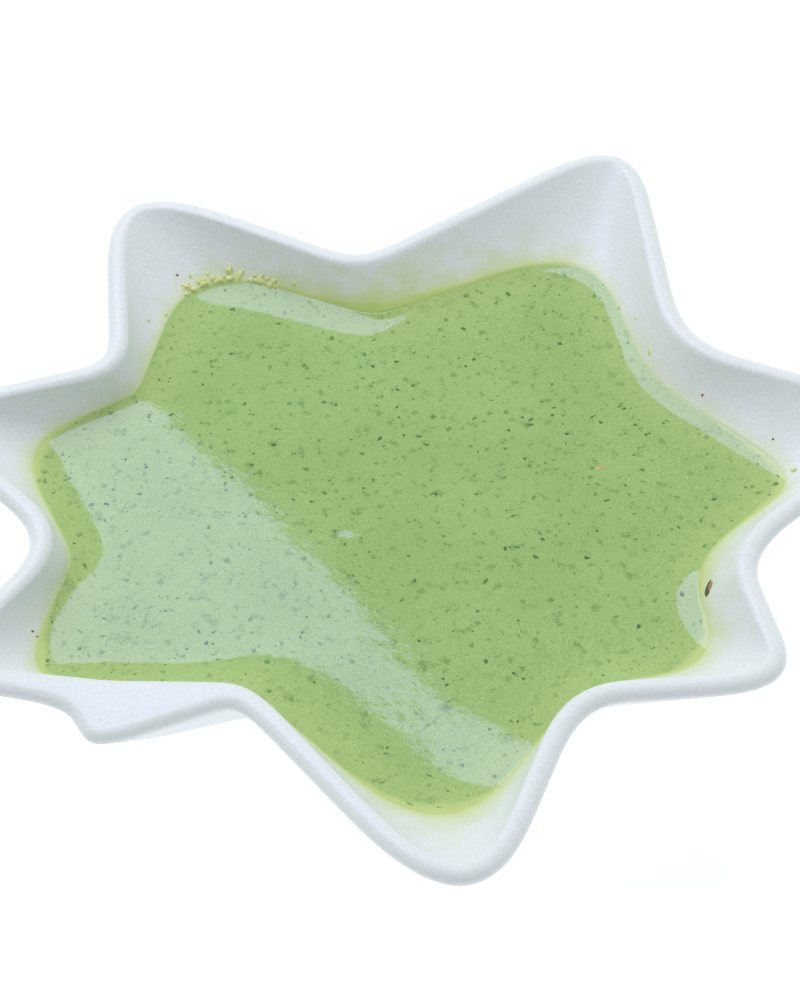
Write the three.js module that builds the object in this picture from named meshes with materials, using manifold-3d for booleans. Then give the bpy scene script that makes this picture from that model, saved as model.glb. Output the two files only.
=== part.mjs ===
// A bowl of spinach dip: a star-shaped bowl of white glazed ceramic, filled almost to its rim with smooth
// green dip. Millimetres, +Z up. The bowl stands on its foot ring at z = 0, and the box round it is
// centred on the origin.
//
// The star isn't a regular one, so its outlines are drawn from corners: each point of the star and each
// valley between two points is one corner, given by its angle and its reach from the star's middle.
// Straight flanks join the corners, and every corner is rounded by a parabola that starts at a share of
// the flanks beside it. All the levels of the bowl have the same corners in the same order, so the walls
// are lofted from one to the next.
import * as THREE from "three";
import Module from "manifold-3d";
import { mergeVertices } from "three/addons/utils/BufferGeometryUtils.js";

// Heights
const RIM_Z = 34; // the rim's crest in the valleys
const DIP_LINE_Z = 27.5; // where the dip meets the wall
const DIP_LEVEL_Z = 26.4; // the dip's flat surface, away from the wall
const FLOOR_Z = 7.5; // the bowl's floor, inside
const FOOT_Z = 2.5; // height of the foot ring's side

// The star's middle, set off the origin so that the uneven star's box is centred on it
const STAR_X = -2.8;
const STAR_Y = 2.3;

// The lip: a narrow crest, with a broad rounding outside and another one inside that runs out into the wall
const LIP_OUTER_WIDTH = 2.2;
const LIP_OUTER_DROP = 1.7;
const LIP_CREST = 0.3;
const LIP_INNER_ROUND = 2.4;

// Walls, floor and foot
const WALL_HOLLOW = 1.2; // above 1, the inner wall is hollow: it steepens towards the lip
const BASIN_BELLY = 0.03; // how far the basin below the dip line bellies out, as a share of its flank
const OUTER_BELLY = 0.1; // the same for the outer wall
const FLOOR_RADIUS = 36;
const FOOT_RADIUS = 38;
const FOOT_STAR = 0.2; // how much of the star is left in the foot's outline
const STAR_MEAN = 80; // the rim's mean reach, which the foot's share of the star is scaled by
const FOOT_ROUND = 1; // rounding at the foot ring's outer edge
const FOOT_LAND = 3.5; // width of the flat that the bowl stands on
const FOOT_RECESS = 1.8; // depth of the recess inside the foot ring

// The dip
const GAP = 0.3; // clearance between the dip and the wall, and the same above the floor
const MENISCUS = 4; // width of the rise towards the wall
const FLAKE_PROUD = 0.15; // how far the larger flakes of spinach stand out of the surface
const SMALLER_FLAKES = 24; // of those, the ones that are only strewn
const FLAKE_REACH = 44; // the strewn ones lie within this distance of the middle
const FLAKE_SIZE = [1, 1.6]; // shortest and longest strewn one

// The largest flakes: place from the star's middle, length, width, and turn in degrees
const LARGEST_FLAKES = [
  [51.4, -37, 2.2, 1.6, 35],
  [44.8, -31.4, 2, 1.4, 60],
  [43.4, -40, 1.9, 0.6, 115],
  [32.7, 41.2, 1.4, 1.2, 0],
  [44.9, 23.4, 1.5, 1, 30],
  [16, -39.5, 1.5, 1.2, 90],
  [-60.1, -4.4, 1.4, 1.2, 40],
  [2.9, -20.4, 1.2, 0.9, 70],
  [-24.9, 46.8, 1.6, 0.8, 0],
  [26.2, 20.5, 1.8, 0.8, 35],
  [-34.3, 38.4, 1.3, 0.9, 20],
  [3.9, 16, 1.6, 0.6, 10],
];

// Corners of the rim's outer edge, round the star from point A: angle in degrees, reach, rounding, and the
// crest's lift over RIM_Z. Seven points stand round the star, and H is only a low bump beside F.
const RIM = {
  A: [127, 103.5, 0.5, 2.5],
  GA: [152.5, 65.5, 0.13, 0],
  G: [171.5, 100.5, 0.37, 2.5],
  FG: [193, 68.5, 0.24, 0],
  F: [209.5, 102, 0.37, 2.5],
  HF: [221.5, 81, 0.3, -0.5],
  H: [229, 83.5, 0.29, -1],
  EH: [241.5, 61, 0.12, 0],
  E: [277, 107, 0.5, 2.5],
  DE: [301.5, 63, 0.2, 0],
  D: [324.5, 90, 0.39, 2.5],
  CD: [344, 68, 0.25, 0],
  C: [7.5, 107.5, 0.37, 2.5],
  BC: [32, 67.5, 0.21, 0],
  B: [62.5, 108.5, 0.34, 2.5],
  AB: [98, 59.5, 0.1, 0],
};
// Corners of the line where the dip meets the wall: angle, reach and rounding. H makes no bay in the dip,
// so its two corners are shares of the straight flank from F to EH.
const DIP_LINE = {
  A: [124.5, 77, 0.5],
  GA: [153, 59, 0.1],
  G: [170.5, 77, 0.46],
  FG: [194, 64, 0.12],
  F: [212, 82.5, 0.5],
  HF: { between: ["F", "EH"], share: 1 / 3 },
  H: { between: ["F", "EH"], share: 2 / 3 },
  EH: [238.5, 54, 0.1],
  E: [275.5, 83, 0.48],
  DE: [306, 57, 0.2],
  D: [325, 72.5, 0.46],
  CD: [343, 57.5, 0.38],
  C: [3, 79, 0.28],
  BC: [31.5, 59, 0.23],
  B: [60, 79.5, 0.44],
  AB: [96, 48, 0.12],
};
// The lip's inner edge also runs straight past H, so the lip widens to a flat ledge there.
const LIP_LINE = {
  ...RIM,
  HF: { between: ["F", "EH"], share: 0.47 },
  H: { between: ["F", "EH"], share: 0.6 },
};
const PLAIN_ROUNDING = 0.3; // for the corners of H on the dip line, which lie on a straight flank anyway
const PER_CORNER = 8; // points on each ring for one corner
const CORNER_CROWDING = 0.35; // how much the points crowd towards the corner

const mix = (a, b, share) => a.clone().lerp(b, share);
const polar = (degrees, reach, z) => {
  const angle = THREE.MathUtils.degToRad(degrees);
  return new THREE.Vector3(reach * Math.cos(angle), reach * Math.sin(angle), z);
};

// The outline's points: for each corner, from half way along the flank before it to half way along the one
// after.
function outline(table) {
  const place = (entry) =>
    Array.isArray(entry)
      ? polar(entry[0], entry[1], entry[3] ?? 0)
      : mix(place(table[entry.between[0]]), place(table[entry.between[1]]), entry.share);
  const entries = Object.values(table);
  const corners = entries.map(place);
  return corners.flatMap((corner, i) => {
    const before = corners.at(i - 1);
    const after = corners[(i + 1) % corners.length];
    const rounding = entries[i][2] ?? PLAIN_ROUNDING;
    const start = mix(corner, before, rounding);
    const arc = new THREE.QuadraticBezierCurve3(start, corner, mix(corner, after, rounding));
    return Array.from({ length: PER_CORNER }, (_, k) => {
      const v = (2 * k) / PER_CORNER - 1;
      const along = (v * Math.abs(v) ** CORNER_CROWDING) / 2;
      if (Math.abs(along) > rounding) return mix(corner, along < 0 ? before : after, Math.abs(along));
      return arc.getPoint((along / rounding + 1) / 2);
    });
  });
}

// The same ring moved inwards by a distance square to its line, and raised. Both may differ from point to
// point, as functions of the point's number.
function inset(ring, distance, rise = 0) {
  const at = (value, i) => (typeof value === "function" ? value(i) : value);
  return ring.map((point, i) => {
    const tangent = ring[(i + 1) % ring.length].clone().sub(ring.at(i - 1)).setZ(0).normalize();
    const inwards = new THREE.Vector3(-tangent.y, tangent.x, 0).multiplyScalar(at(distance, i));
    return point.clone().add(inwards).setZ(point.z + at(rise, i));
  });
}

// A ring between two others, and a ring at one height.
const blend = (a, b, share, heightShare = share) =>
  a.map((point, i) => mix(point, b[i], share).setZ(THREE.MathUtils.lerp(point.z, b[i].z, heightShare)));
const level = (ring, z) => ring.map((point) => point.clone().setZ(z));

// The ring's own directions carried to a circle.
const circle = (ring, radius, z) => ring.map((point) => point.clone().setZ(0).setLength(radius).setZ(z));

const steps = (count) => Array.from({ length: count }, (_, i) => (i + 1) / count);

// The lip from its outer edge to its inner one: a quarter of an ellipse up to the crest, and then an arc that
// turns down until it is as steep as the wall below it.
function lipRings(rimEdge, lipLine, dipLine) {
  const crest = inset(lipLine, LIP_OUTER_WIDTH + LIP_CREST).map((point, i) => point.setZ(rimEdge[i].z));
  const steepness = crest.map((point, i) => {
    const run = Math.hypot(point.x - dipLine[i].x, point.y - dipLine[i].y);
    return Math.atan2(WALL_HOLLOW * (point.z - dipLine[i].z), run);
  });
  const outer = [0, 1, 2, 3, 4].map((i) => {
    const turn = (i * Math.PI) / 8;
    return inset(rimEdge, LIP_OUTER_WIDTH * (1 - Math.cos(turn)), LIP_OUTER_DROP * (Math.sin(turn) - 1));
  });
  const inner = steps(3).map((share) =>
    inset(
      crest,
      (i) => LIP_INNER_ROUND * Math.sin(share * steepness[i]),
      (i) => LIP_INNER_ROUND * (Math.cos(share * steepness[i]) - 1),
    ),
  );
  return [...outer, crest, ...inner];
}

// A closed mesh from rings stacked in order, with a middle point that closes the first and the last ring.
function lofted(rings, firstMiddle, lastMiddle) {
  const around = rings[0].length;
  const points = [firstMiddle, ...rings.flat(), lastMiddle];
  const last = points.length - 1;
  const at = (ring, i) => 1 + ring * around + (i % around);
  const faces = [];
  for (let i = 0; i < around; i++) {
    faces.push(0, at(0, i + 1), at(0, i));
    for (let ring = 0; ring + 1 < rings.length; ring++) {
      faces.push(at(ring, i), at(ring, i + 1), at(ring + 1, i));
      faces.push(at(ring, i + 1), at(ring + 1, i + 1), at(ring + 1, i));
    }
    faces.push(at(rings.length - 1, i), at(rings.length - 1, i + 1), last);
  }
  return new THREE.BufferGeometry().setFromPoints(points).setIndex(faces);
}

const dipLine = level(outline(DIP_LINE), DIP_LINE_Z);
const rimEdge = outline(RIM).map((point) => point.setZ(RIM_Z + point.z));
const lip = lipRings(rimEdge, outline(LIP_LINE), dipLine);
const lipOuter = lip[0];
const lipInner = lip.at(-1);
const floorEdge = circle(dipLine, FLOOR_RADIUS, FLOOR_Z);

// The basin under the dip line, at a share of the way down to the floor's edge.
const basin = (share) => blend(dipLine, floorEdge, share - BASIN_BELLY * Math.sin(share * Math.PI), share);

function bowlGeometry() {
  const round = circle(lipOuter, FOOT_RADIUS, FOOT_Z);
  const starry = lipOuter.map((point) => point.clone().multiplyScalar(FOOT_RADIUS / STAR_MEAN));
  const foot = level(blend(round, starry, FOOT_STAR), FOOT_Z);
  const outerWall = steps(5).map((share) =>
    blend(foot, lipOuter, share + OUTER_BELLY * Math.sin(share * Math.PI), share),
  );
  const innerWall = steps(3).map((share) => blend(dipLine, lipInner, 1 - share, (1 - share) ** WALL_HOLLOW));
  const rings = [
    level(inset(foot, FOOT_ROUND + FOOT_LAND + FOOT_RECESS), FOOT_RECESS),
    level(inset(foot, FOOT_ROUND + FOOT_LAND), 0),
    level(inset(foot, FOOT_ROUND), 0),
    level(inset(foot, FOOT_ROUND * (1 - Math.SQRT1_2)), FOOT_ROUND * (1 - Math.SQRT1_2)),
    level(foot, FOOT_ROUND),
    foot,
    ...outerWall,
    ...lip.slice(1),
    ...innerWall,
    ...steps(5).map(basin),
  ];
  return lofted(rings, new THREE.Vector3(0, 0, FOOT_RECESS), new THREE.Vector3(0, 0, FLOOR_Z));
}

function dipGeometry() {
  const inWall = (ring) => inset(ring, GAP, GAP);
  const edge = level(inWall(dipLine), DIP_LINE_Z);
  const surface = [0.25, 0.6, 1].map((share) =>
    level(inset(edge, MENISCUS * share), DIP_LEVEL_Z + (DIP_LINE_Z - DIP_LEVEL_Z) * (1 - share) ** 2),
  );
  const middle = new THREE.Vector3(0, 0, DIP_LEVEL_Z);
  const flat = surface.at(-1);
  const inner = [0.75, 0.4].map((share) => flat.map((point) => mix(middle, point, share)));
  const sides = steps(5)
    .reverse()
    .map((share) => inWall(basin(share)));
  return lofted([...sides, edge, ...surface, ...inner], new THREE.Vector3(0, 0, FLOOR_Z + GAP), middle);
}

// A repeatable scatter: the same number from 0 to 1 for the same index and channel.
function scatter(index, channel) {
  const wave = Math.sin(index * 12.9898 + channel * 78.233) * 43758.5453;
  return wave - Math.floor(wave);
}

// A flake of spinach: a low rounded scrap, lying half sunk in the surface.
const flakeGeometry = (x, y, length, width, turn) =>
  new THREE.IcosahedronGeometry(1, 1)
    .scale(length / 2, width / 2, FLAKE_PROUD)
    .rotateZ(THREE.MathUtils.degToRad(turn))
    .translate(x, y, DIP_LEVEL_Z);

// A strewn flake: the places go round by the golden angle, so they cover the surface evenly.
function strewnFlake(_, index) {
  const radius = FLAKE_REACH * Math.sqrt((index + 0.5) / SMALLER_FLAKES);
  const angle = index * Math.PI * (3 - Math.sqrt(5)) + scatter(index, 1);
  const length = THREE.MathUtils.lerp(...FLAKE_SIZE, scatter(index, 2));
  const width = length * THREE.MathUtils.lerp(0.5, 0.9, scatter(index, 3));
  return [radius * Math.cos(angle), radius * Math.sin(angle), length, width, 180 * scatter(index, 4)];
}

const wasm = await Module();
wasm.setup();

function solid(geometry) {
  const bare = geometry.clone();
  bare.deleteAttribute("normal");
  bare.deleteAttribute("uv");
  const merged = mergeVertices(bare, 1e-4);
  const vertProperties = new Float32Array(merged.attributes.position.array);
  const triVerts = new Uint32Array(merged.index.array);
  return new wasm.Manifold(new wasm.Mesh({ numProp: 3, vertProperties, triVerts }));
}

function geometryOf(manifold) {
  const mesh = manifold.getMesh();
  const geometry = new THREE.BufferGeometry();
  geometry.setAttribute("position", new THREE.BufferAttribute(mesh.vertProperties, 3));
  return geometry.setIndex(new THREE.BufferAttribute(mesh.triVerts, 1));
}

const flakes = [...LARGEST_FLAKES, ...Array.from({ length: SMALLER_FLAKES }, strewnFlake)];
const dipWithFlakes = flakes.reduce(
  (whole, flake) => whole.add(solid(flakeGeometry(...flake))),
  solid(dipGeometry()),
);

const glaze = new THREE.MeshStandardMaterial({ color: 0xe4ebf2, roughness: 0.18, metalness: 0 });
const spinachDip = new THREE.MeshStandardMaterial({ color: 0x9bbb7a, roughness: 0.3, metalness: 0 });

function piece(name, geometry, material) {
  geometry.computeVertexNormals();
  const mesh = new THREE.Mesh(geometry, material);
  mesh.name = name;
  return mesh;
}

const star = new THREE.Group();
star.position.set(STAR_X, STAR_Y, 0);
star.add(piece("bowl", bowlGeometry(), glaze), piece("dip", geometryOf(dipWithFlakes), spinachDip));

export default star;
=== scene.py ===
# %% [markdown]
# # A star bowl of spinach dip
#
# The object is a white glazed ceramic bowl in the shape of an uneven star, filled almost to its rim with a
# smooth green dip. This file is read from top to bottom like a notebook. Each step first says what the
# piece is, how it could be made, and why it is made the way it is.
#
# The measured solids come first, because everything here is a finer version of them, in the same frame.

# %% Load the measured solids
import math

import bpy
import numpy as np
from mathutils import Matrix, Vector


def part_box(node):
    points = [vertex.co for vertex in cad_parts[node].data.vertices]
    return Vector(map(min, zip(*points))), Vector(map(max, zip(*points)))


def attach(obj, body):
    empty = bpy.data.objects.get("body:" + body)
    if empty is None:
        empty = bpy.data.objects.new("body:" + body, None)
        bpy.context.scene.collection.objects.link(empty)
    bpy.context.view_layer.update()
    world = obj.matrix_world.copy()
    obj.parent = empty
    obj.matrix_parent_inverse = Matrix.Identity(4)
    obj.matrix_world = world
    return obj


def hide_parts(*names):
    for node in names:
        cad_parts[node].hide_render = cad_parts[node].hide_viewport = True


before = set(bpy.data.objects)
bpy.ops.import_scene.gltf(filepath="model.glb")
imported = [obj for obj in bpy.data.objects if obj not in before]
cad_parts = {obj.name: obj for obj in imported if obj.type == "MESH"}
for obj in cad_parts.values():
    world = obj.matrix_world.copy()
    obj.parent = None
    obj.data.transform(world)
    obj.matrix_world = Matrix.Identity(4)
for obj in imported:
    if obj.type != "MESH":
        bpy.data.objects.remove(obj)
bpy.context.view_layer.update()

MM = 0.001
bowl_low, bowl_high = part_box("bowl")
dip_low, dip_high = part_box("dip")
print("bowl solid", [round(v / MM, 1) for v in (*bowl_low, *bowl_high)], "mm")
print("dip solid", [round(v / MM, 1) for v in (*dip_low, *dip_high)], "mm")

# %% [markdown]
# ## The camera
#
# The bowl is seen from in front and well above, near enough that its far points look smaller than its near
# ones. A long lens from half a metre away gives that. The distance and the height of the view were worked
# out together, by taking the star's points to lie about on a circle. The camera looks at a place a little
# in front of the star's middle, and three of the points run out of the picture, as they do in the photo.

# %% Camera
RIM_Z = 34.0
VIEW_HEIGHT = math.radians(50)  # above the horizon
VIEW_DISTANCE = 530.0
LOOK_AT = np.array([-2.7, -4.5, RIM_Z])
LENS = 100.0
SENSOR = 36

toward_camera = np.array([0, -math.cos(VIEW_HEIGHT), math.sin(VIEW_HEIGHT)])
camera_place = LOOK_AT + VIEW_DISTANCE * toward_camera
camera_data = bpy.data.cameras.new("camera")
camera_data.lens = LENS
camera_data.sensor_width = SENSOR
camera_data.clip_start = 0.01
camera = bpy.data.objects.new("camera", camera_data)
camera.location = camera_place * MM
camera.rotation_euler = (math.pi / 2 - VIEW_HEIGHT, 0, 0)
bpy.context.scene.collection.objects.link(camera)
bpy.context.scene.camera = camera
print("camera stands", (camera_place * MM).round(3), "m")

# %% [markdown]
# ## The star's outline
#
# A star could be a polygon with a bevel, but its roundings are uneven: broad at the points, tight in the
# valleys. So each corner is given by its angle, its reach and its own rounding, and a parabola rounds it,
# as a draughtsman's curve does. The rim's crest also rises a little towards each point.
#
# Every level of the bowl has the same corners in the same order. So point number 7 on one level belongs to
# point number 7 on the next, and the wall between two levels is a plain blend of the two outlines.

# %% Corners of the rim and of the line where the dip meets the wall
# angle in degrees, reach in mm, rounding as a share of the flanks, lift of the crest in mm
RIM = {
    "A": (127, 103.5, 0.5, 2.5),
    "GA": (152.5, 65.5, 0.13, 0),
    "G": (171.5, 100.5, 0.37, 2.5),
    "FG": (193, 68.5, 0.24, 0),
    "F": (209.5, 102, 0.37, 2.5),
    "HF": (221.5, 81, 0.3, -0.5),
    "H": (229, 83.5, 0.29, -1),
    "EH": (241.5, 61, 0.12, 0),
    "E": (277, 107, 0.5, 2.5),
    "DE": (301.5, 63, 0.2, 0),
    "D": (324.5, 90, 0.39, 2.5),
    "CD": (344, 68, 0.25, 0),
    "C": (7.5, 107.5, 0.37, 2.5),
    "BC": (32, 67.5, 0.21, 0),
    "B": (62.5, 108.5, 0.34, 2.5),
    "AB": (98, 59.5, 0.1, 0),
}
# H is only a bump on the rim, so on the dip's line it stands on the straight flank from F to EH
DIP_LINE = {
    "A": (124.5, 77, 0.5),
    "GA": (153, 59, 0.1),
    "G": (170.5, 77, 0.46),
    "FG": (194, 64, 0.12),
    "F": (212, 82.5, 0.5),
    "HF": ("F", "EH", 1 / 3),
    "H": ("F", "EH", 2 / 3),
    "EH": (238.5, 54, 0.1),
    "E": (275.5, 83, 0.48),
    "DE": (306, 57, 0.2),
    "D": (325, 72.5, 0.46),
    "CD": (343, 57.5, 0.38),
    "C": (3, 79, 0.28),
    "BC": (31.5, 59, 0.23),
    "B": (60, 79.5, 0.44),
    "AB": (96, 48, 0.12),
}
# The lip's inner edge also runs straight past H, so the lip widens to a flat ledge there
LIP_LINE = {**RIM, "HF": ("F", "EH", 0.47), "H": ("F", "EH", 0.6)}
DIP_LINE_Z = 27.5

# %% From corners to a rounded outline
PLAIN_ROUNDING = 0.3  # of a corner that stands on a straight flank
CORNER_CROWDING = 0.35  # 0 spaces the points evenly, more crowds them at the corners
AROUND = 40  # points for each corner


def corner_place(table, entry):
    """A corner as a point: cosine and sine of its angle times its reach, or a share of the way between two
    other corners."""
    if isinstance(entry[0], str):
        start, end = (corner_place(table, table[name]) for name in entry[:2])
        return start + (end - start) * entry[2]
    angle = math.radians(entry[0])
    lift = entry[3] if len(entry) > 3 else 0
    return np.array([entry[1] * math.cos(angle), entry[1] * math.sin(angle), lift])


def outline(table, per_corner=AROUND):
    """The rounded star. Along each corner's half flanks the point is corner + share * (neighbour - corner).
    Nearer than the rounding it is the parabola (1-t)^2 start + 2t(1-t) corner + t^2 end."""
    corner = np.array([corner_place(table, entry) for entry in table.values()])[:, None]
    rounding = [PLAIN_ROUNDING if isinstance(entry[0], str) else entry[2] for entry in table.values()]
    rounding = np.array(rounding)[:, None, None]
    before, after = np.roll(corner, 1, 0), np.roll(corner, -1, 0)
    v = 2 * np.arange(per_corner) / per_corner - 1
    along = (v * np.abs(v) ** CORNER_CROWDING / 2)[None, :, None]
    straight = corner + np.abs(along) * (np.where(along < 0, before, after) - corner)
    t = np.clip((along / rounding + 1) / 2, 0, 1)
    start, end = corner + rounding * (before - corner), corner + rounding * (after - corner)
    arc = (1 - t) ** 2 * start + 2 * t * (1 - t) * corner + t**2 * end
    return np.where(np.abs(along) > rounding, straight, arc).reshape(-1, 3)


def eased(ring, passes=6):
    """Each point becomes a quarter of both neighbours and half of itself, a few times over."""
    for _ in range(passes):
        ring = 0.5 * ring + 0.25 * (np.roll(ring, 1, 0) + np.roll(ring, -1, 0))
    return ring


def inset(ring, distance, rise=0.0):
    """The ring moved inwards, square to its own line, and raised."""
    tangent = np.roll(ring, -1, 0)[:, :2] - np.roll(ring, 1, 0)[:, :2]
    tangent /= np.linalg.norm(tangent, axis=1, keepdims=True)
    moved = ring.copy()
    moved[:, 0] -= tangent[:, 1] * distance
    moved[:, 1] += tangent[:, 0] * distance
    moved[:, 2] += rise
    return moved


rim_edge = eased(outline(RIM)) + (0, 0, RIM_Z)
lip_line = eased(outline(LIP_LINE))
dip_line = eased(outline(DIP_LINE)) + (0, 0, DIP_LINE_Z)
print("rim outline", len(rim_edge), "points,", np.ptp(rim_edge, axis=0).round(1), "mm")

# %% [markdown]
# ## From rings to a mesh
#
# A stack of rings with the same number of points is a grid: one direction runs round the bowl, the other
# from ring to ring. The faces follow from the numbering alone, so they are made for the whole grid at once.
# A single point closes each end of the stack, which makes the shell watertight.

# %% Mesh helpers
STAR_MIDDLE = np.array([-2.8, 2.3, 0])  # all outlines are drawn about this place


def new_object(name, points, faces):
    """A mesh object at the origin, from points in mm about the star's middle and a list of face arrays."""
    mesh = bpy.data.meshes.new(name)
    mesh.from_pydata((points + STAR_MIDDLE) * MM, [], [face for array in faces for face in array.tolist()])
    mesh.polygons.foreach_set("use_smooth", np.ones(len(mesh.polygons), bool))
    mesh.validate()
    thing = bpy.data.objects.new(name, mesh)
    bpy.context.scene.collection.objects.link(thing)
    return thing


def lofted(name, rings, first_middle, last_middle):
    """Quads between neighbouring rings, and a fan of triangles to a middle point at either end."""
    rings = np.asarray(rings)
    count, around = rings.shape[:2]
    points = np.concatenate([rings.reshape(-1, 3), [first_middle], [last_middle]])
    i, j = np.arange(count - 1)[:, None] * around, np.arange(around)[None]
    k = (j + 1) % around
    quads = np.stack([i + j, i + k, i + around + k, i + around + j], -1).reshape(-1, 4)
    j, k = j[0], k[0]
    first = np.stack([np.full(around, count * around), k, j], -1)
    top = (count - 1) * around
    last = np.stack([top + j, top + k, np.full(around, count * around + 1)], -1)
    return new_object(name, points, [quads, first, last])


def set_attribute(thing, name, values):
    """One number for each vertex, which a material can read by name."""
    attribute = thing.data.attributes.new(name, "FLOAT", "POINT")
    attribute.data.foreach_set("value", np.asarray(values, np.float32).ravel())


# %% Ring helpers


def blended(a, b, share, height_share=None):
    """A ring between two others; its height may follow another share than its place does."""
    ring = a + (b - a) * share
    if height_share is not None:
        ring[:, 2] = a[:, 2] + (b[:, 2] - a[:, 2]) * height_share
    return ring


def at_height(ring, z):
    ring = ring.copy()
    ring[:, 2] = z
    return ring


def circled(ring, radius, z):
    """The ring's own directions, carried to a circle."""
    flat = ring[:, :2] / np.linalg.norm(ring[:, :2], axis=1, keepdims=True) * radius
    return np.column_stack([flat, np.full(len(ring), z)])


def shares(count):
    """Even steps that end at 1 and leave out 0, where the ring before already stands."""
    return (np.arange(count) + 1) / count


# %% [markdown]
# ## The bowl
#
# The real bowl is slip-cast: a thin wall that flares from a small foot, with a rim that is softly rounded
# outside and runs out into the wall inside. Solidify would give the thickness, but not this lip. So the
# whole section is drawn instead: up the outer wall, over the lip, down the inner wall and across the floor,
# each stretch as a few rings. The foot, the outer wall and the floor are hidden in the photo, so they are
# kept plain.

# %% The lip
LIP_OUTER_WIDTH = 2.2  # mm from the outer edge in to the crest
LIP_OUTER_DROP = 1.7  # mm from the crest down to the outer edge
LIP_CREST = 0.3  # mm of level crest between the two, more at the ledge
LIP_INNER_ROUND = 2.4  # radius of the arc down to the wall, in mm
WALL_HOLLOW = 1.2  # 1 is a straight wall, more is a hollow one


def lip_section(edge, inner_line, wall_foot, steps=7):
    """A quarter ellipse up to the crest, inwards = width * (1 - cos) and height = drop * (sin - 1), and then
    an arc that turns down until it is as steep as the wall below it."""
    crest = inset(inner_line, LIP_OUTER_WIDTH + LIP_CREST)
    crest[:, 2] = edge[:, 2]
    run = np.hypot(*(crest - wall_foot)[:, :2].T)
    steepness = np.arctan2(WALL_HOLLOW * (crest - wall_foot)[:, 2], run)
    rings = []
    for turn in np.linspace(0, np.pi / 2, steps):
        inwards, under = LIP_OUTER_WIDTH * (1 - np.cos(turn)), LIP_OUTER_DROP * (np.sin(turn) - 1)
        rings.append(inset(edge, inwards, under))
    for share in np.linspace(0, 1, steps):
        turn = share * steepness
        rings.append(inset(crest, LIP_INNER_ROUND * np.sin(turn), LIP_INNER_ROUND * (np.cos(turn) - 1)))
    return rings


lip_rings = lip_section(rim_edge, lip_line, dip_line)
lip_outer, lip_inner = lip_rings[0], lip_rings[-1]
print("lip", len(lip_rings), "rings")

# %% Walls, floor and foot
FLOOR_RADIUS = 36
FLOOR_Z = 7.5
FOOT_RADIUS = 38
FOOT_Z = 2.5
FOOT_STAR = 0.2  # how much of the star's shape the foot takes: 0 is a circle
STAR_MEAN = 80  # about the lip's mean reach, which becomes the foot's radius
FOOT_ROUND = 1
FOOT_LAND = 3.5  # width of the level ring that the bowl stands on
FOOT_RECESS = 1.8  # how far the base inside that ring is raised
RECESS_ROUND = (0.2, 0.15)  # how far in and up the land's inner edge is eased
OUTER_BELLY = 0.1  # how far the walls swell, as a share of their slant
BASIN_BELLY = 0.03
OUTER_RINGS = 14
WALL_RINGS = 20
BASIN_RINGS = 8

floor_edge = circled(dip_line, FLOOR_RADIUS, FLOOR_Z)
foot = blended(circled(lip_outer, FOOT_RADIUS, 0), lip_outer * (FOOT_RADIUS / STAR_MEAN), FOOT_STAR)
foot = at_height(foot, FOOT_Z)


def outer_wall(share):
    """The outer wall, at a share of the way from the foot up to the lip."""
    return blended(foot, lip_outer, share + OUTER_BELLY * math.sin(share * math.pi), share)


def inner_wall(share):
    """The inner wall that shows, from the lip's inner edge (0) down to the dip's line (1)."""
    return blended(dip_line, lip_inner, 1 - share, (1 - share) ** WALL_HOLLOW)


def basin(share):
    """The inner wall under the dip's line, at a share of the way down to the floor."""
    return blended(dip_line, floor_edge, share - BASIN_BELLY * math.sin(share * math.pi), share)


# %% Bowl surface
recess_in, recess_up = RECESS_ROUND
half_turn = FOOT_ROUND * (1 - math.sqrt(0.5))  # in and up, half way round the foot's edge
bowl_rings = [
    at_height(inset(foot, FOOT_ROUND + FOOT_LAND + FOOT_RECESS), FOOT_RECESS),
    at_height(inset(foot, FOOT_ROUND + FOOT_LAND + recess_in), recess_up),
    at_height(inset(foot, FOOT_ROUND + FOOT_LAND), 0),
    at_height(inset(foot, FOOT_ROUND), 0),
    at_height(inset(foot, half_turn), half_turn),
    at_height(foot, FOOT_ROUND),
    foot,
    *[outer_wall(share) for share in shares(OUTER_RINGS)],
    *lip_rings[1:],
    *[inner_wall(share) for share in shares(WALL_RINGS)],
    *[basin(share) for share in shares(BASIN_RINGS)],
]
bowl = lofted("star_bowl", bowl_rings, (0, 0, FOOT_RECESS), (0, 0, FLOOR_Z))
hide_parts("bowl")
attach(bowl, "root")
print("star_bowl", len(bowl.data.polygons), "faces")

# %% [markdown]
# ## The dip's surface
#
# Still dip is flat, but a wet edge climbs the wall: the surface bends up over the last few millimetres. That
# rise is about a millimetre high, yet it is what shows most, because the bend catches other parts of the
# room than the flat middle does. The rise follows e to the power of minus distance over a length. The
# distance is a soft one, worked out from all the wall at once, so it has no crease between two near walls.
# The dip was poured, so the length isn't the same everywhere: it is longest at the front point.
#
# A displacement texture could bend the surface too, but here the height is a formula that other pieces use
# as well, to lie on the dip and face the way it does.

# %% What changes round the star
# It is a usual value and a few stretches where there is more or less of it: the corner in the middle of the
# stretch, how much more, and how many corners wide.
# over how many mm the rise at the wall runs out
RISE = (
    3.5,
    ("E", 3.5, 1.3),
    ("F", 1.8, 0.7),
    ("C", 1.8, 0.8),
    ("B", 1.0, 0.8),
    ("GA", -1.0, 0.8),
    ("H", -1.0, 0.8),
)
# how wide the dip's thin, paler edge is in mm: it is only there at five of the points
THIN_EDGE = (0.1, *[(point, 1.8, 0.4) for point in "GFEDC"])


def round_the_star(usual, *stretches):
    """A value for each point of a ring: usual + more * e^(-(corners away / wide)^2) for each stretch."""
    corner = np.arange(len(DIP_LINE) * AROUND) / AROUND - 0.5
    values = np.full(len(corner), float(usual))
    for name, more, wide in stretches:
        away = np.abs(corner - list(DIP_LINE).index(name))
        away = np.minimum(away, len(DIP_LINE) - away)
        values += more * np.exp(-((away / wide) ** 2))
    return values


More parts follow.
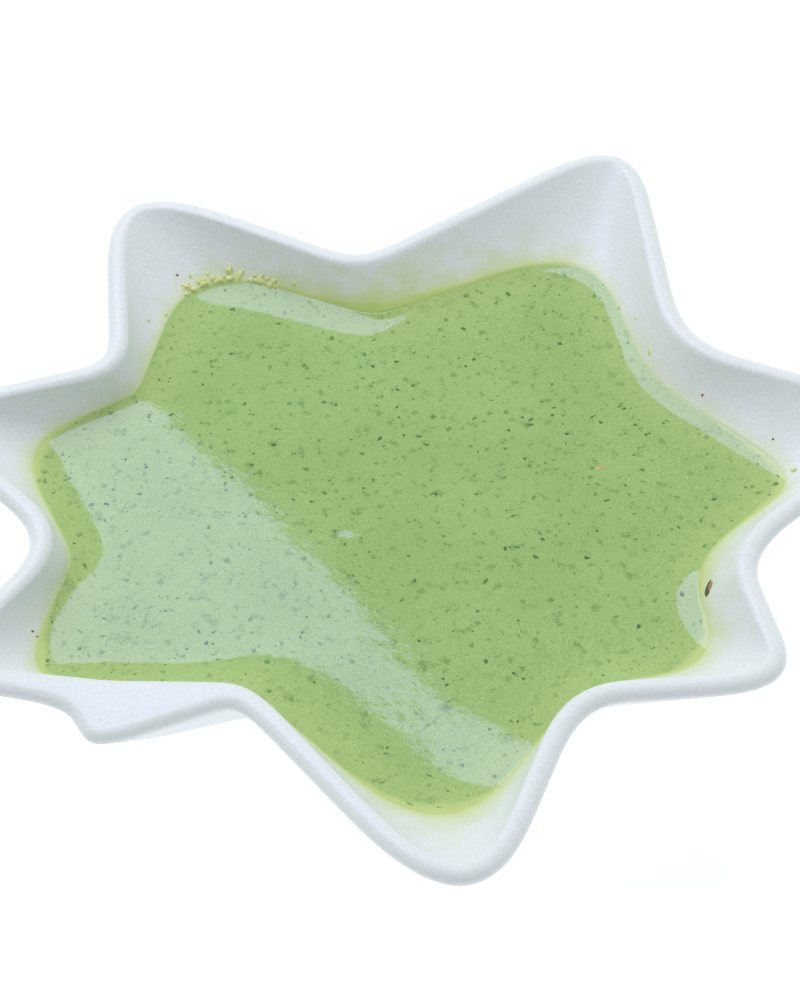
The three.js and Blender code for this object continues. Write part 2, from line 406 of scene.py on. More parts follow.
dip_direction = np.unwrap(np.arctan2(dip_line[:, 1], dip_line[:, 0]))
rise_length = round_the_star(*RISE)
print("the rise runs out over", rise_length.min().round(1), "to", rise_length.max().round(1), "mm")

# %% Height of the dip
DIP_LEVEL_Z = 26.4
# The dip was stirred, so it has very low swells, and two small humps beside each other: place, width and
# height in mm
SWELLS = ((-35, 8, 10, 0.06), (-13, -18, 10, 0.05), (21, -56, 10, 0.13))
HUMPS = ((-9.6, -7.6, 2, 0.065), (-6.4, -7.2, 2, 0.05))
AREA_OF_INVERSE_FOURTH = math.pi / 2  # the integral of 1 / (1 + t^2)^2 over a straight wall
SMALLEST_SQUARE = 0.04  # keeps the soft distance's sum finite on the wall itself
SOFT_FROM = 0.5  # mm off the wall where the soft distance starts to take over, within one more mm


def wall_distance(points, chunk=4000):
    """Soft distance to the dip's line: (sum of step / distance^4, over pi / 2) to the power of -1/3, which
    is the plain distance beside a straight wall, and less where more wall is near."""
    line = eased(outline(DIP_LINE, AROUND * 3), passes=12)[:, :2]
    step = np.linalg.norm(np.roll(line, -1, 0) - line, axis=1)
    found = []
    for start in range(0, len(points), chunk):
        gap = points[start : start + chunk, None, :2] - line[None]
        square = (gap**2).sum(-1)
        fourth = np.maximum(square, SMALLEST_SQUARE) ** 2
        soft = ((step / fourth).sum(1) / AREA_OF_INVERSE_FOURTH) ** (-1 / 3)
        plain = np.sqrt(square.min(1))
        weight = np.clip(plain - SOFT_FROM, 0, 1)
        found.append(plain * (1 - weight) + soft * weight)
    return np.concatenate(found)


def dip_height(points):
    """Level + rise * e^(-distance / length), with the length of the point's own direction, and for each bump
    high * e^(-(distance from its middle / wide)^2)."""
    direction = -np.arctan2(points[:, 1], points[:, 0])
    length = np.interp(direction, -dip_direction, rise_length, period=2 * np.pi)
    distance = wall_distance(points)
    height = DIP_LEVEL_Z + (DIP_LINE_Z - DIP_LEVEL_Z) * np.exp(-distance / length)
    for x, y, wide, high in (*SWELLS, *HUMPS):
        height += high * np.exp(-((points[:, :2] - (x, y)) ** 2).sum(1) / wide**2)
    return height, distance


# %% Dip surface
INTO_WALL = 0.3  # the dip reaches a little into the wall, so no gap shows
TOP_RINGS = 90
EDGE_CROWDING = 1.8  # 1 spaces the rings evenly, more crowds them at the wall
SIDE_RINGS = 8

# share of the way from the star's middle to the dip's line
toward_edge = 1 - (1 - shares(TOP_RINGS)) ** EDGE_CROWDING
top_points = np.concatenate([dip_line * (share, share, 1) for share in toward_edge])
top_points[:, 2], edge_distance = dip_height(top_points)
top_rings = top_points.reshape(TOP_RINGS, -1, 3)
top_rings[-1] = inset(dip_line, -INTO_WALL)
side_rings = [inset(basin(share), -INTO_WALL, -INTO_WALL) for share in shares(SIDE_RINGS)[::-1]]
side_rings.append(inset(dip_line, -INTO_WALL, -INTO_WALL))
dip_rings = np.concatenate([side_rings, top_rings[::-1]])
dip = lofted("spinach_dip", dip_rings, (0, 0, FLOOR_Z - INTO_WALL), (0, 0, DIP_LEVEL_Z))
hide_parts("dip")
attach(dip, "root")
print("spinach_dip", len(dip.data.polygons), "faces")

# %% What the dip's material reads
FAR_FROM_WALL = 40  # mm, for what has no wall near it
edge_distance = edge_distance.reshape(TOP_RINGS, -1)[::-1]
from_wall = np.concatenate([np.zeros((len(side_rings), len(dip_line))), edge_distance])
thin_width = np.broadcast_to(round_the_star(*THIN_EDGE), from_wall.shape)
# the last two numbers belong to the middle points that close the shell
set_attribute(dip, "from_wall", np.append(from_wall, [0, FAR_FROM_WALL]))
set_attribute(dip, "thin_width", np.append(thin_width, [1, 1]))
print("the dip's top lies up to", edge_distance.max().round(1), "mm from the wall")

# %% [markdown]
# ## The film on the wall
#
# Above the dip's line the wall keeps a film of dip. At the line it is nearly as green as the dip, and it
# fades upwards into the bare glaze. It has no thickness worth modelling, so it is a colour on the bowl. Each
# point of the wall knows how far it stands above the line, how thick the film is at its own place round the
# star, and how fast it thins out. Round the valley AB the film is made thicker than the dip's own coat there,
# so that it also darkens the shaded foot of that recess: there it is partly painted shade.

# %% What the glaze's material reads about the film
# how thick it is at the line, where 1 hides the glaze: most round the valley AB, which is a real coat of
# dip and also painted shade for the foot of that recess
FILM_THICK_AND_SHADE = (
    0.65,
    ("AB", 0.4, 0.9),
    ("CD", 0.25, 0.6),
    ("E", 0.2, 0.7),
    ("BC", -0.15, 0.7),
    ("H", -0.3, 1.2),
)
# over how many mm it thins out to about a third
FILM_REACH = (2.4, ("AB", 4.2, 0.8), ("E", 2.6, 0.9), ("CD", 2.5, 0.8), ("H", -1.4, 1.0))
CLEAN = 99.0  # stands for far above the line

above_line = np.linalg.norm(np.array(bowl_rings) - dip_line, axis=2)
above_line[: -WALL_RINGS - BASIN_RINGS] = CLEAN
above_line[-BASIN_RINGS:] = 0
film_thick_and_shade = np.broadcast_to(round_the_star(*FILM_THICK_AND_SHADE), above_line.shape)
film_reach = np.broadcast_to(round_the_star(*FILM_REACH), above_line.shape)
# the last two numbers belong to the middle points of the base and of the floor
set_attribute(bowl, "above_line", np.append(above_line, [CLEAN, 0]))
set_attribute(bowl, "film_thick_and_shade", np.append(film_thick_and_shade, [1, 1]))
set_attribute(bowl, "film_reach", np.append(film_reach, [1, 1]))
print("the film thins out over", film_reach.min().round(1), "to", film_reach.max().round(1), "mm")

# %% [markdown]
# ## Spinach
#
# The dip is full of chopped spinach. Most scraps are under a millimetre, lie level with the surface and are
# partly covered, so they differ in how dark they look. A particle system could strew them, but then nobody
# knows where they are. Here every scrap is a low dome with an uneven rim, all of a kind are built at once as
# one mesh, and each carries a number for how much dip covers it. The largest ones repeat the rule of the
# measured solid.

# %% Scraps as one mesh
SCRAP_RIM = 9  # points on a scrap's rim
UP = np.array([0.0, 0.0, 1.0])


def scraps(
    name, places, length, width, turn, proud, sunk=0.05, uneven=0.25, shoulder=0.62, facing=UP, seed=1
):
    """Domes: a rim at angle a is (length / 2 * cos a, width / 2 * sin a) * (1 + uneven), a second ring at the
    share shoulder of it stands at the height sqrt(1 - shoulder^2), and one point is the crown."""
    chance = np.random.default_rng(seed)
    count = len(places)
    a = np.arange(SCRAP_RIM) * 2 * np.pi / SCRAP_RIM
    wobble = 1 + uneven * (2 * chance.random((count, SCRAP_RIM)) - 1)
    x, y = np.cos(a) * wobble * length[:, None] / 2, np.sin(a) * wobble * width[:, None] / 2
    cos, sin = np.cos(turn)[:, None], np.sin(turn)[:, None]
    x, y = x * cos - y * sin, x * sin + y * cos
    shoulder_height = np.broadcast_to(np.sqrt(1 - shoulder**2) * proud[:, None], x.shape)
    x = np.concatenate([x, x * shoulder, np.zeros((count, 1))], 1)
    y = np.concatenate([y, y * shoulder, np.zeros((count, 1))], 1)
    z = np.concatenate([np.full((count, SCRAP_RIM), -sunk), shoulder_height, proud[:, None]], 1)
    # the dome's own axes: to the side, ahead, and out along the way it faces
    facing = np.broadcast_to(facing, (count, 3))
    side = np.cross((0.0, 1.0, 0.0), facing)
    side /= np.linalg.norm(side, axis=1, keepdims=True)
    ahead = np.cross(facing, side)
    points = sum(part[:, :, None] * axis[:, None] for part, axis in ((x, side), (y, ahead), (z, facing)))
    points = points + places[:, None]
    i = np.arange(SCRAP_RIM)
    k = (i + 1) % SCRAP_RIM
    skirt = np.stack([i, k, SCRAP_RIM + k, SCRAP_RIM + i], -1)
    cap = np.stack([SCRAP_RIM + i, SCRAP_RIM + k, np.full(SCRAP_RIM, 2 * SCRAP_RIM)], -1)
    start = np.arange(count)[:, None, None] * (2 * SCRAP_RIM + 1)
    faces = [(skirt + start).reshape(-1, 4), (cap + start).reshape(-1, 3)]
    return new_object(name, points.reshape(-1, 3), faces)


# %% Places on the dip


def on_dip(x, y):
    """Places on the dip's surface, above x and y."""
    places = np.column_stack([x, y, np.zeros(len(x))])
    places[:, 2] = dip_height(places)[0]
    return places


def strewn(count, seed, margin=0.985):
    """Places spread evenly over the star: a slice is drawn by its area, then a reach by the square root. The
    margin is the share of the way to the wall that they keep to."""
    chance = np.random.default_rng(seed)
    after = np.roll(dip_line, -1, 0)
    area = np.abs(dip_line[:, 0] * after[:, 1] - dip_line[:, 1] * after[:, 0])
    slices = chance.choice(len(dip_line), count, p=area / area.sum())
    side = chance.random((count, 1))
    places = dip_line[slices] * (1 - side) + after[slices] * side
    places[:, :2] *= np.sqrt(chance.random((count, 1))) * margin
    return on_dip(places[:, 0], places[:, 1]), chance


def dip_facing(places, step=0.2):
    """The dip's own normal at each place, from how much higher it is a small step to the right and ahead."""
    right, ahead = (dip_height(places + shift)[0] - places[:, 2] for shift in ((step, 0, 0), (0, step, 0)))
    facing = np.column_stack([-right, -ahead, np.full(len(places), step)])
    return facing / np.linalg.norm(facing, axis=1, keepdims=True)


# %% The larger flakes of the measured solid
FLAKE_PROUD = 0.15
SMALLER_FLAKES = 24
FLAKE_REACH = 44
FLAKE_SIZE = (1, 1.6)
FLAKE_WIDTH = (0.5, 0.4)  # the least share of the length, and how much more chance may add
GOLDEN_ANGLE = math.pi * (3 - math.sqrt(5))
# place from the star's middle, length, width, and turn in degrees
LARGEST_FLAKES = [
    (51.4, -37, 2.2, 1.6, 35),
    (44.8, -31.4, 2, 1.4, 60),
    (43.4, -40, 1.9, 0.6, 115),
    (32.7, 41.2, 1.4, 1.2, 0),
    (44.9, 23.4, 1.5, 1, 30),
    (16, -39.5, 1.5, 1.2, 90),
    (-60.1, -4.4, 1.4, 1.2, 40),
    (2.9, -20.4, 1.2, 0.9, 70),
    (-24.9, 46.8, 1.6, 0.8, 0),
    (26.2, 20.5, 1.8, 0.8, 35),
    (-34.3, 38.4, 1.3, 0.9, 20),
    (3.9, 16, 1.6, 0.6, 10),
]


def scatter(index, channel):
    """The measured solid's own repeatable scatter: the fraction of sin(12.9898 i + 78.233 c) * 43758.5453."""
    wave = np.sin(index * 12.9898 + channel * 78.233) * 43758.5453
    return wave - np.floor(wave)


# the smaller of them lie on a sunflower's spiral, each turned on by the golden angle and a little chance
index = np.arange(SMALLER_FLAKES)
radius = FLAKE_REACH * np.sqrt((index + 0.5) / SMALLER_FLAKES)
angle = index * GOLDEN_ANGLE + scatter(index, 1)
length = FLAKE_SIZE[0] + (FLAKE_SIZE[1] - FLAKE_SIZE[0]) * scatter(index, 2)
width = length * (FLAKE_WIDTH[0] + FLAKE_WIDTH[1] * scatter(index, 3))
spiral_flakes = [radius * np.cos(angle), radius * np.sin(angle), length, width, 180 * scatter(index, 4)]
x, y, length, width, turn = np.concatenate([LARGEST_FLAKES, np.column_stack(spiral_flakes)]).T
places = np.column_stack([x, y, np.full(len(x), DIP_LEVEL_Z)])
proud = np.full(len(x), FLAKE_PROUD)
large_flakes = scraps("large_flakes", places, length, width, np.radians(turn), proud, sunk=0.1, uneven=0.3)
# the largest are bare, the others a quarter to three quarters covered
covered = np.append(np.zeros(len(LARGEST_FLAKES)), 0.25 + 0.5 * scatter(index, 5))
print("large_flakes", len(large_flakes.data.polygons), "faces")

# %% Small flakes
SMALL_FLAKES = 2300
SMALL_LENGTH = (0.32, 1.3)  # the least, and how much more chance may add, in mm
FEW_LONG = 2.4  # a power: the higher, the fewer long ones
SMALL_WIDTH = (0.45, 0.5)  # the same as a share of the length
SMALL_PROUD = 0.006

places, chance = strewn(SMALL_FLAKES, seed=7)
length = SMALL_LENGTH[0] + SMALL_LENGTH[1] * chance.random(SMALL_FLAKES) ** FEW_LONG
width = length * (SMALL_WIDTH[0] + SMALL_WIDTH[1] * chance.random(SMALL_FLAKES))
turn = chance.random(SMALL_FLAKES) * math.pi
proud = np.full(SMALL_FLAKES, SMALL_PROUD)
facing = dip_facing(places)
small_flakes = scraps(
    "small_flakes", places, length, width, turn, proud, uneven=0.4, shoulder=0.85, facing=facing, seed=8
)
small_covered = chance.random(SMALL_FLAKES) ** 0.5
# flat tops mirror the same part of the room as the dip round them, as a scrap under a wet skin does
small_flakes.data.polygons.foreach_set("use_smooth", np.zeros(len(small_flakes.data.polygons), bool))
print("small_flakes", len(small_flakes.data.polygons), "faces")

# %% How much dip covers each flake
# dip creeps over a flake's rim, so the rim is covered more, the shoulder half as much more
for flakes, cover, over_rim in ((large_flakes, covered, 0.55), (small_flakes, small_covered, 0.3)):
    over = np.repeat([over_rim, over_rim / 2, 0], [SCRAP_RIM, SCRAP_RIM, 1])
    set_attribute(flakes, "covered", np.clip(cover[:, None] + over, 0, 1))
    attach(flakes, "root")
    print(flakes.name, "covered", cover.mean().round(2), "on average")

# %% [markdown]
# ## On the wall: crumbs, specks and a chip of herb
#
# Crumbs of dip stick to the wall, most of them at point A. There are also a few red-brown specks of spice,
# and one chip of dried herb with an orange edge. They could be sculpted one by one, but at this size a dome
# that stands square to the wall is enough. Each is listed by the corner of the star that it is
# nearest to, counted from A, and by how many mm it stands above the dip's line. Only the small crumbs that
# fill the gaps at point A are strewn.

# %% Places on the wall
WALL_STEP = 0.05


def on_wall(corner, above):
    """The wall's point there and the direction it faces, from the steps round and down the wall."""
    ring = int((corner + 0.5) % len(RIM) * AROUND)
    beside = (ring + 1) % (len(RIM) * AROUND)
    down = 1 - above / np.linalg.norm(lip_inner[ring] - dip_line[ring])
    higher, wall = inner_wall(down - WALL_STEP), inner_wall(down)
    facing = np.cross(wall[beside] - wall[ring], wall[ring] - higher[ring])
    facing *= np.sign(facing[2])
    return wall[ring], facing / np.linalg.norm(facing)


def on_the_wall(name, table, thick, seed):
    """Scraps from rows of corner, mm above the line, length, width and turn in degrees. They stand out by
    thick * width."""
    corner, above, length, width, turn = np.array(table, float).T
    places, facing = zip(*[on_wall(c, a) for c, a in zip(corner, above)])
    proud = thick * width
    return scraps(
        name, np.array(places), length, width, np.radians(turn), proud, facing=np.array(facing), seed=seed
    )


# %% Crumbs, specks and herb
# corner, mm above the line, length, width, and turn in degrees
CRUMBS = [
    (15.68, 1.9, 4.0, 1.5, 68),
    (15.9, 1.3, 2.4, 1.5, 110),
    (0.2, 1.6, 2.8, 1.4, 166),
    (15.5, 2.6, 1.6, 1.2, 30),
    (15.4, 3.8, 1.2, 1.0, 0),
    (0.45, 1.1, 1.0, 0.8, 80),
    (0.58, 4.7, 0.9, 0.7, 0),
    (12.06, 2.2, 1.4, 1.1, 30),
    (13.15, 2.7, 2.4, 0.8, 70),
    (13.35, 4.0, 1.4, 0.6, 80),
    (13.52, 0.5, 1.5, 0.9, 80),
]
SPECKS = [
    (0.2, 5.0, 0.7, 0.5, 0),
    (12.72, 3.5, 0.6, 0.5, 40),
    (12.35, 4.0, 0.6, 0.5, 0),
    (3.62, 2.0, 0.6, 0.5, 0),
    (3.67, 0.4, 0.6, 0.4, 20),
]
HERB = [(10.7, 2.5, 3.8, 1.5, 62)]
HERB_EDGE = [(10.74, 3.3, 2.2, 0.5, 62)]

# %% Strewn crumbs at point A
# each value is the least, and how much more chance may add; the squares make most of them small and low
STREWN_CRUMBS = 34
ALONG_CORNERS = (15.52, 0.75)
ABOVE_LINE = (0.3, 3.6)
CRUMB_LENGTH = (0.8, 1.6)
CRUMB_WIDTH = 0.8  # of the length
drawn = np.random.default_rng(11).random((STREWN_CRUMBS, 4))
corner = ALONG_CORNERS[0] + ALONG_CORNERS[1] * drawn[:, 0]
above = ABOVE_LINE[0] + ABOVE_LINE[1] * drawn[:, 1] ** 2
length = CRUMB_LENGTH[0] + CRUMB_LENGTH[1] * drawn[:, 2] ** 2
strewn_crumbs = np.column_stack([corner, above, length, CRUMB_WIDTH * length, 180 * drawn[:, 3]])

wall_crumbs = on_the_wall("wall_crumbs", [*CRUMBS, *strewn_crumbs], thick=0.3, seed=3)
wall_specks = on_the_wall("wall_specks", SPECKS, thick=0.3, seed=4)
herb_chip = on_the_wall("herb_chip", HERB, thick=0.2, seed=5)
herb_edge = on_the_wall("herb_edge", HERB_EDGE, thick=0.6, seed=6)
print(len(CRUMBS) + STREWN_CRUMBS, "crumbs and", len(SPECKS), "specks on the wall")

# %% [markdown]
# ## On the dip: bubbles and a smudge
#
# There are a few small bubbles, most of them near the left wall, and one pinkish smudge. A bubble is a round
# dome in the dip's own material, and the smudge is the same kind of scrap as a flake, nearly flat. They could
# be bumps in the dip's mesh, but then its rings would have to be far finer. All are listed in mm
# from the star's middle.

# %% Bubbles and smudge
# place and radius
BUBBLES = [
    (-61.6, -9.3, 0.8),
    (-67.5, 1.2, 0.6),
    (-70.4, 3.8, 0.5),
    (-60.9, -20.4, 0.45),
    (-59.5, -36.7, 0.5),
    (-57.5, 22.5, 0.7),
    (-20.0, 55.0, 0.5),
    (-69.6, 6.5, 0.7),
    (-64.0, -1.5, 0.4),
    (-41.0, 49.0, 0.5),
    (13.5, 54.6, 0.8),
]
BUBBLE_HEIGHT = 0.45  # of the radius
# place and length
SMUDGE = (39.4, 7.9, 2.0)

x, y, radius = np.array(BUBBLES).T
proud = BUBBLE_HEIGHT * radius
bubbles = scraps("bubbles", on_dip(x, y), 2 * radius, 2 * radius, 0 * x, proud, uneven=0.03, seed=9)
# a bubble isn't painted as the dip's thin edge, however near the wall it is
set_attribute(bubbles, "from_wall", np.full(len(bubbles.data.vertices), FAR_FROM_WALL))
set_attribute(bubbles, "thin_width", np.ones(len(bubbles.data.vertices)))
x, y, size = np.array([SMUDGE]).T
smudge = scraps(
    "smudge", on_dip(x, y), size, 0.6 * size, 0 * size, 0.01 * size, uneven=0.4, shoulder=0.9, seed=10
)
for small in (wall_crumbs, wall_specks, herb_chip, herb_edge, bubbles, smudge):
    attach(small, "root")
    print(small.name, len(small.data.polygons), "faces")

# %% [markdown]
# ## Materials
#
# All colours are worked out in the shader from places in the object, so nothing depends on an image. Colours
# are read off as screen values and turned to linear light first. The helpers below each make one node, or
# one short chain, and give back its output, so that a material reads as a few sentences.

# %% Colours and plain nodes


def paint(red, green, blue):
    """A screen colour from 0 to 255 as linear light: ((v + 0.055) / 1.055)^2.4 above the dark end."""
    v = np.array([red, green, blue]) / 255
    return (*np.where(v > 0.04045, ((v + 0.055) / 1.055) ** 2.4, v / 12.92), 1.0)


def new_material(name):
    material = bpy.data.materials.new(name)
    material.use_nodes = True
    return material, material.node_tree


def socket(tree, target, value):
    """Sets an input to a plain value, or links it to another node's output."""
    if isinstance(value, bpy.types.NodeSocket):
        tree.links.new(value, target)
    else:
        target.default_value = value


def attribute(tree, name):
    node = tree.nodes.new("ShaderNodeAttribute")
    node.attribute_name = name
    return node.outputs["Fac"]


def math_node(tree, operation, a, b=0.0, c=0.0):
    node = tree.nodes.new("ShaderNodeMath")
    node.operation = operation
    for target, value in zip(node.inputs, (a, b, c)):
        socket(tree, target, value)
    return node.outputs["Value"]


def spread(tree, value, low, high, start=0.0, end=1.0, smooth=True):
    """Maps low..high to start..end, held at both ends."""
    node = tree.nodes.new("ShaderNodeMapRange")
    node.interpolation_type = "SMOOTHSTEP" if smooth else "LINEAR"
    for target, number in zip(node.inputs, (value, low, high, start, end)):
        socket(tree, target, number)
    return node.outputs["Result"]


def mixed(tree, share, a, b):
    node = tree.nodes.new("ShaderNodeMix")
    node.data_type = "RGBA"
    socket(tree, node.inputs["Factor"], share)
    socket(tree, node.inputs["A"], a)
    socket(tree, node.inputs["B"], b)
    return node.outputs["Result"]


# %% Patterns


def noise(tree, size_mm, detail=2.0, roughness=0.5):
    """Noise whose bumps are about this size, on the object's own coordinates, which are in metres."""
    node = tree.nodes.new("ShaderNodeTexNoise")
    place = tree.nodes.new("ShaderNodeTexCoord").outputs["Object"]
    tree.links.new(place, node.inputs["Vector"])
    node.inputs["Scale"].default_value = 1000 / size_mm
    node.inputs["Detail"].default_value = detail
    node.inputs["Roughness"].default_value = roughness
    return node.outputs["Fac"]


def bumped(tree, height, distance_mm):
    """A bump whose height, from 0 to 1, stands for this many millimetres."""
    node = tree.nodes.new("ShaderNodeBump")
    node.inputs["Distance"].default_value = distance_mm * MM
    tree.links.new(height, node.inputs["Height"])
    return node.outputs["Normal"]


# %% [markdown]
# ## The white glaze
#
# Real glaze is white with a cool cast, with soft highlights and tiny dimples. A photo of glaze would bring
# its own light along, so the dimples are a fine noise in the bump instead. The film of dip belongs to the
# same material. It thins out as e to the power of minus climb over reach, is cut off where it would be very
# thin, and the reach wavers, so its upper border isn't a line.

# %% White glaze
GLAZE = paint(232, 240, 243)
GLAZE_SHADE = paint(226, 234, 237)
FILM = paint(199, 218, 130)
THICK_FILM = paint(176, 207, 120)
FILM_CUT = 0.1  # the film ends where it would be thinner than this
WAVER_SIZE = 5  # all sizes are in mm
WAVER = (0.55, 1.45)  # what the film's reach is multiplied by
TINT_SIZE = 0.5
DIMPLE_SIZE = 1.4
DIMPLE_DEPTH = 0.01

glaze, tree = new_material("white_glaze")
shader = tree.nodes["Principled BSDF"]
uneven = spread(tree, noise(tree, WAVER_SIZE, detail=4), 0.25, 0.75, *WAVER)
reach = math_node(tree, "MULTIPLY", attribute(tree, "film_reach"), uneven)
climbed = math_node(tree, "DIVIDE", attribute(tree, "above_line"), reach)
left = math_node(tree, "EXPONENT", math_node(tree, "MULTIPLY", climbed, -1))
left = math_node(tree, "MULTIPLY_ADD", left, 1 + FILM_CUT, -FILM_CUT)
film = math_node(tree, "MULTIPLY", attribute(tree, "film_thick_and_shade"), left)
bare = mixed(tree, spread(tree, noise(tree, TINT_SIZE, detail=1), 0.35, 0.65), GLAZE, GLAZE_SHADE)
# the film's colour over the glaze; where it is thickest, round the valley AB, it is partly painted shade
tint = mixed(tree, spread(tree, film, 0.0, 0.9, smooth=False), bare, FILM)
tint = mixed(tree, spread(tree, film, 0.7, 1.0, smooth=False), tint, THICK_FILM)
tree.links.new(tint, shader.inputs["Base Color"])
shader.inputs["Roughness"].default_value = 0.32
shader.inputs["Specular IOR Level"].default_value = 0.35
tree.links.new(bumped(tree, noise(tree, DIMPLE_SIZE), DIMPLE_DEPTH), shader.inputs["Normal"])
bowl.data.materials.append(glaze)
print(glaze.name, len(tree.nodes), "nodes")

# %% [markdown]
# ## The dip
#
# The dip is a thick, wet paste. Its green is uneven at several sizes: cloudy over centimetres, mottled at a
# millimetre or two, grainy below that, with blotches where spinach lies just under the surface. Towards the
# wall it gets paler, and at some points it ends in a thin pale edge. Subsurface scattering would be another
# way to soften it, but the paste is opaque, and the plain shader is quicker. The skin is nearly a mirror,
# with ripples a few hundredths of a millimetre high, so that the panel's reflection has an uneven border.

# %% Dip: from the clouds down to the grain
DIP_DEEP = paint(154, 188, 113)
DIP_LIGHT = paint(161, 196, 122)
DIP_TEAL = paint(128, 170, 104)
DIP_PALE = paint(192, 220, 150)
LEAF_MID = paint(110, 156, 86)
LEAF_DARK = paint(46, 90, 38)
CLOUD_SIZE = 22
MOTTLE_SIZE = 1.5
GRAIN_SIZE = 0.3
SUNKEN_SIZE = 2.6
BLOTCH_SIZE = 1.3
PATCH_SIZE = 9  # the blotches are there in patches of this size

green, tree = new_material("spinach_dip")
shader = tree.nodes["Principled BSDF"]
clouds = spread(tree, noise(tree, CLOUD_SIZE), 0.3, 0.7)
body = mixed(tree, clouds, DIP_DEEP, DIP_LIGHT)
mottling = spread(tree, noise(tree, MOTTLE_SIZE), 0.35, 0.65, end=0.2)
body = mixed(tree, mottling, body, DIP_TEAL)
grain = noise(tree, GRAIN_SIZE, roughness=0.8)
body = mixed(tree, spread(tree, grain, 0.48, 0.76, end=0.8), body, DIP_PALE)
body = mixed(tree, spread(tree, grain, 0.24, 0.52, start=0.7, end=0.0), body, DIP_TEAL)
sunken = spread(tree, noise(tree, SUNKEN_SIZE, detail=4, roughness=0.7), 0.55, 0.68, end=0.7)
body = mixed(tree, sunken, body, LEAF_MID)
blotches = spread(tree, noise(tree, BLOTCH_SIZE, detail=1), 0.7, 0.78, end=0.85)
patches = spread(tree, noise(tree, PATCH_SIZE), 0.35, 0.55)
body = mixed(tree, math_node(tree, "MULTIPLY", blotches, patches), body, LEAF_DARK)
print(green.name, len(tree.nodes), "nodes for the body")

# %% Dip: towards the wall, and the wet skin
THIN_DIP = paint(196, 216, 142)
MARGIN = (1.5, 13)  # mm from the wall between which the paler margin fades out
MARGIN_SHARE = 0.28
RAGGED_SIZE = 5
RAGGED = 0.3  # how far the thin edge's border wavers, as a share of its width
RIPPLE_SIZE = 6
RIPPLE_HEIGHT = 0.029
WET = 0.03  # the roughness of a wet skin

from_wall = attribute(tree, "from_wall")
body = mixed(tree, spread(tree, from_wall, *MARGIN, start=MARGIN_SHARE, end=0.0), body, THIN_DIP)
near = math_node(tree, "DIVIDE", from_wall, attribute(tree, "thin_width"))
ragged = spread(tree, noise(tree, RAGGED_SIZE, detail=3), 0.3, 0.7, start=-RAGGED, end=RAGGED)
near = math_node(tree, "ADD", near, ragged)
body = mixed(tree, spread(tree, near, 0.2, 1.6, start=1.0, end=0.0), body, THIN_DIP)
tree.links.new(body, shader.inputs["Base Color"])
shader.inputs["Roughness"].default_value = WET
ripples = noise(tree, RIPPLE_SIZE, detail=5, roughness=0.53)
tree.links.new(bumped(tree, ripples, RIPPLE_HEIGHT), shader.inputs["Normal"])
for thing in (dip, bubbles):
    thing.data.materials.append(green)
print(green.name, len(tree.nodes), "nodes with the skin")

# %% [markdown]
# ## Leaf and small pieces
#
# A scrap of leaf under a wet skin shines like the dip and only has another colour: dark where it is bare,
# and the dip's own green where it is wholly covered. One material for each shade would need dozens, so one
# material reads the number that each flake carries. The small pieces have one plain colour each, a little
# uneven, so one loop makes them all.

# %% Spinach leaf
HALF_COVERED = 0.35

leaf, tree = new_material("spinach_leaf")
shader = tree.nodes["Principled BSDF"]
covered = attribute(tree, "covered")
under = mixed(tree, spread(tree, covered, HALF_COVERED, 1.0, smooth=False), LEAF_MID, DIP_DEEP)
colour = mixed(tree, spread(tree, covered, 0.0, HALF_COVERED, smooth=False), LEAF_DARK, under)
tree.links.new(colour, shader.inputs["Base Color"])
shader.inputs["Roughness"].default_value = WET
for flakes in (large_flakes, small_flakes):
    flakes.data.materials.append(leaf)
print(leaf.name, len(tree.nodes), "nodes")

# %% Plain small pieces
SHADE = 0.75  # how bright a piece's darker patches are
SHADE_SIZE = 0.6

for small, name, colour in (
    (wall_crumbs, "crumb", paint(228, 238, 162)),
    (wall_specks, "spice", paint(140, 72, 44)),
    (herb_chip, "herb_green", paint(96, 104, 60)),
    (herb_edge, "herb_orange", paint(214, 156, 92)),
    (smudge, "smudged", paint(204, 186, 122)),
):
    plain, tree = new_material(name)
    shader = tree.nodes["Principled BSDF"]
    shade = tuple(SHADE * channel for channel in colour[:3]) + (1.0,)
    uneven = mixed(tree, spread(tree, noise(tree, SHADE_SIZE), 0.35, 0.65), shade, colour)
    tree.links.new(uneven, shader.inputs["Base Color"])
    shader.inputs["Roughness"].default_value = 0.3
    small.data.materials.append(plain)
    print(plain.name, len(tree.nodes), "nodes")

# %% [markdown]
# ## Floor and lights
#
# The floor is pale and glows a little, so that it is nearly white without making the bowl too bright. A room
# image could light the bowl, but then its mirror image in the dip couldn't be placed. So the world is plain
# white and four panels do the work. The key stands at the back left and only gives diffuse light: the walls
# that face the camera stay a little darker, the near ones brighter. Two weak fills stand at the sides. The
# fourth panel is only seen in reflections. Mirrored in the flat dip, its straight border runs across the
# bowl from the left to the front, and the dip's raised edge leads the eye off the panel again.

# %% Floor
FLOOR_HALF = 3

floor_mesh = bpy.data.meshes.new("floor")
corners = [(x * FLOOR_HALF, y * FLOOR_HALF, 0) for x, y in ((-1, -1), (1, -1), (1, 1), (-1, 1))]
floor_mesh.from_pydata(corners, [], [(0, 1, 2, 3)])
floor = bpy.data.objects.new("floor", floor_mesh)
bpy.context.scene.collection.objects.link(floor)
paper, tree = new_material("pale_floor")
shader = tree.nodes["Principled BSDF"]
shader.inputs["Base Color"].default_value = (0.93, 0.93, 0.93, 1)
shader.inputs["Roughness"].default_value = 0.8
shader.inputs["Emission Color"].default_value = (1, 1, 1, 1)
shader.inputs["Emission Strength"].default_value = 0.4
floor_mesh.materials.append(paper)
print("floor", 2 * FLOOR_HALF, "m wide")

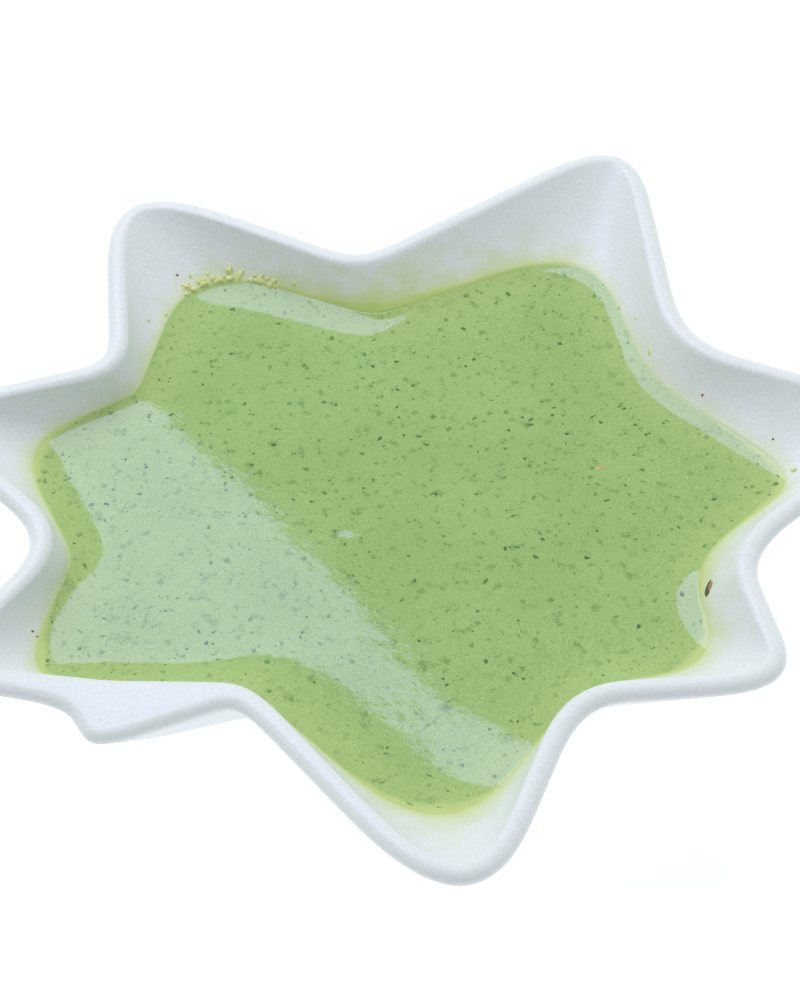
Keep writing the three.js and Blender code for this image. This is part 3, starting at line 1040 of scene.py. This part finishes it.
# %% World and light helper
scene = bpy.context.scene
scene.view_settings.view_transform = "Standard"
world = bpy.data.worlds.new("studio")
world.use_nodes = True
background = world.node_tree.nodes["Background"]
background.inputs["Color"].default_value = (1, 1, 1, 1)
background.inputs["Strength"].default_value = 0.55
scene.world = world


def area_light(name, middle, across, size, radiance, facing=None, glossy=True, diffuse=True):
    """A soft panel that shines along facing, or at the bowl where that isn't given. Its width lies along
    across, and its power is radiance * area * pi. The radiance is given for red, green and blue."""
    data = bpy.data.lights.new(name, "AREA")
    data.shape = "RECTANGLE"
    data.size, data.size_y = size
    data.energy = max(radiance) * size[0] * size[1] * math.pi
    data.color = [value / max(radiance) for value in radiance]
    light = bpy.data.objects.new(name, data)
    back = Vector(middle).normalized() if facing is None else -Vector(facing).normalized()
    side = (Vector(across) - back * back.dot(Vector(across))).normalized()
    up = back.cross(side)
    light.matrix_world = Matrix([(*row, place) for row, place in zip(zip(side, up, back), middle)]).to_4x4()
    light.visible_glossy = glossy
    light.visible_diffuse = diffuse
    scene.collection.objects.link(light)
    print(name, round(data.energy, 2), "W")


# %% Key and fills
area_light("key", (-0.2, 1.05, 1.1), (1, 0, 0), (1.3, 1.0), (3.2, 3.2, 3.2), glossy=False)
area_light("fill_left", (-1.3, 0.1, 0.9), (0, 1, 0), (1.0, 0.8), (0.6, 0.63, 0.67))
area_light("fill_right", (1.3, 0.1, 0.6), (0, 1, 0), (1.0, 0.8), (0.5, 0.53, 0.6), glossy=False)

# %% Panel
# its border stands where the mirrored view rays of the diagonal meet the panel's height, all in metres
PANEL_HEIGHT = 0.9
BORDER_TURN = math.radians(39)
BORDER_OFFSET = 0.392  # from the origin out to the border
PANEL_SHIFT = 0.63  # along the border
PANEL_SIZE = (0.68, 0.55)
COOL = (2.4, 2.2, 4.7)
DOWN = (0, 0, -1)

outwards = np.array([math.cos(BORDER_TURN), math.sin(BORDER_TURN), 0])
along = np.array([-outwards[1], outwards[0], 0])
panel_middle = outwards * (BORDER_OFFSET - PANEL_SIZE[1] / 2) + along * PANEL_SHIFT + (0, 0, PANEL_HEIGHT)
area_light("panel", panel_middle, along, PANEL_SIZE, COOL, facing=DOWN, diffuse=False)
